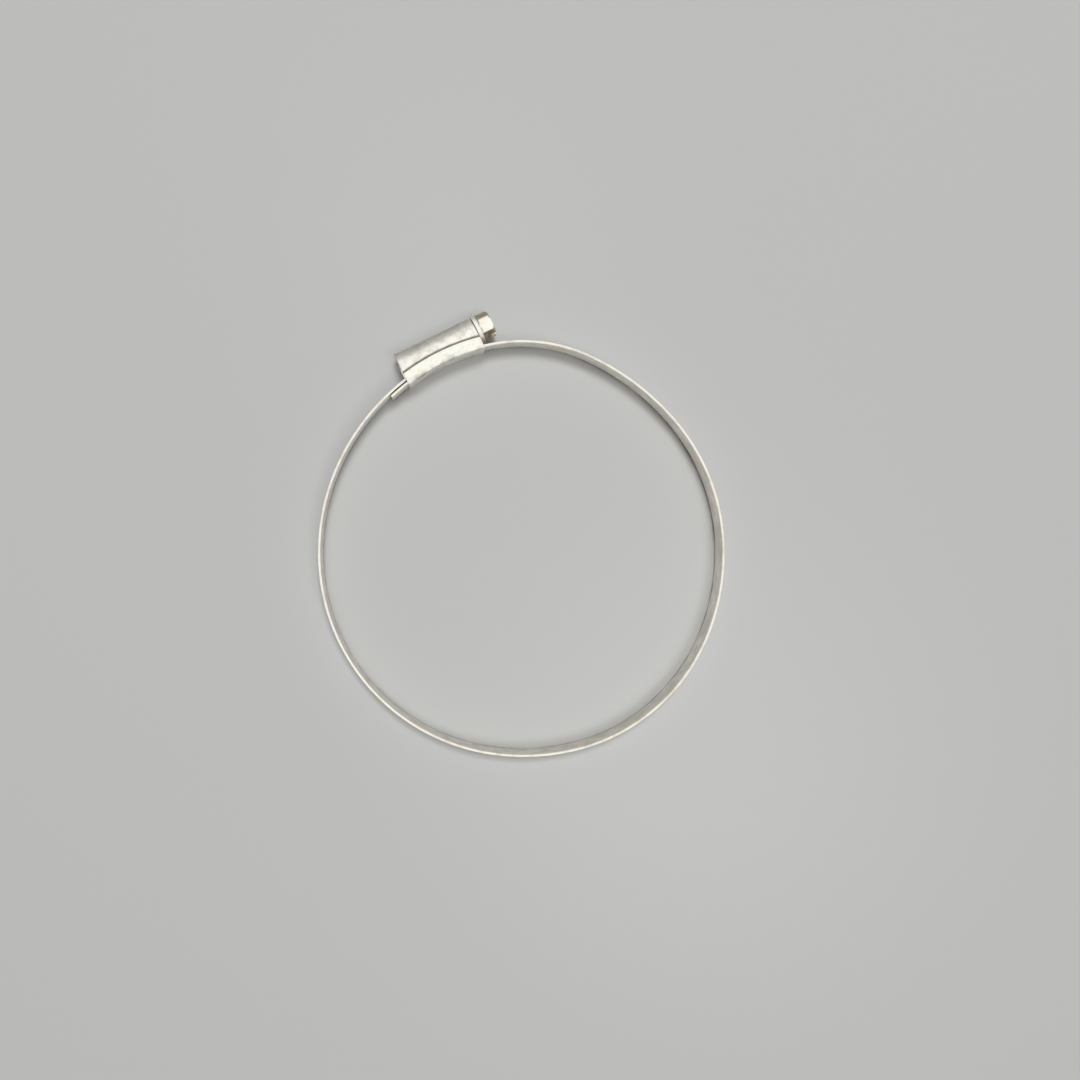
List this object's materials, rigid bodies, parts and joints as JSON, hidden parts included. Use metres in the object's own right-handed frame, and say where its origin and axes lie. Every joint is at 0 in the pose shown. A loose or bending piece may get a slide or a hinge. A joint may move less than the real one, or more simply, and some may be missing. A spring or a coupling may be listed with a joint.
{
  "type": "worm-drive hose clamp",
  "caption": "Steel band closed into a loop by a hex-head worm screw that turns in a half-round housing, opened to its widest for a large hose.",
  "frame": {"origin": "centre of the hose, at the middle of the band's width", "axes": "+Z along the hose; the worm's axis is parallel to +X with the screw's head at the +X end; the housing is on the +Y side"},
  "size_m": [0.1202, 0.1311, 0.0124],
  "materials": {
    "band_steel": "satin",
    "housing_steel": "satin",
    "saddle_steel": "satin",
    "screw_zinc": "satin"
  },
  "bodies": {
    "clamp": {"band": "band_steel", "housing": "housing_steel", "saddle": "saddle_steel"},
    "screw": {"worm_screw": "screw_zinc"}
  },
  "joints": [
    {"name": "screw_turn", "type": "hinge", "parent": "clamp", "child": "screw", "pos_m": [0.0039, 0.06539, 0], "axis": [1, 0, 0], "continuous": true, "deforming": ["band"]}
  ]
}
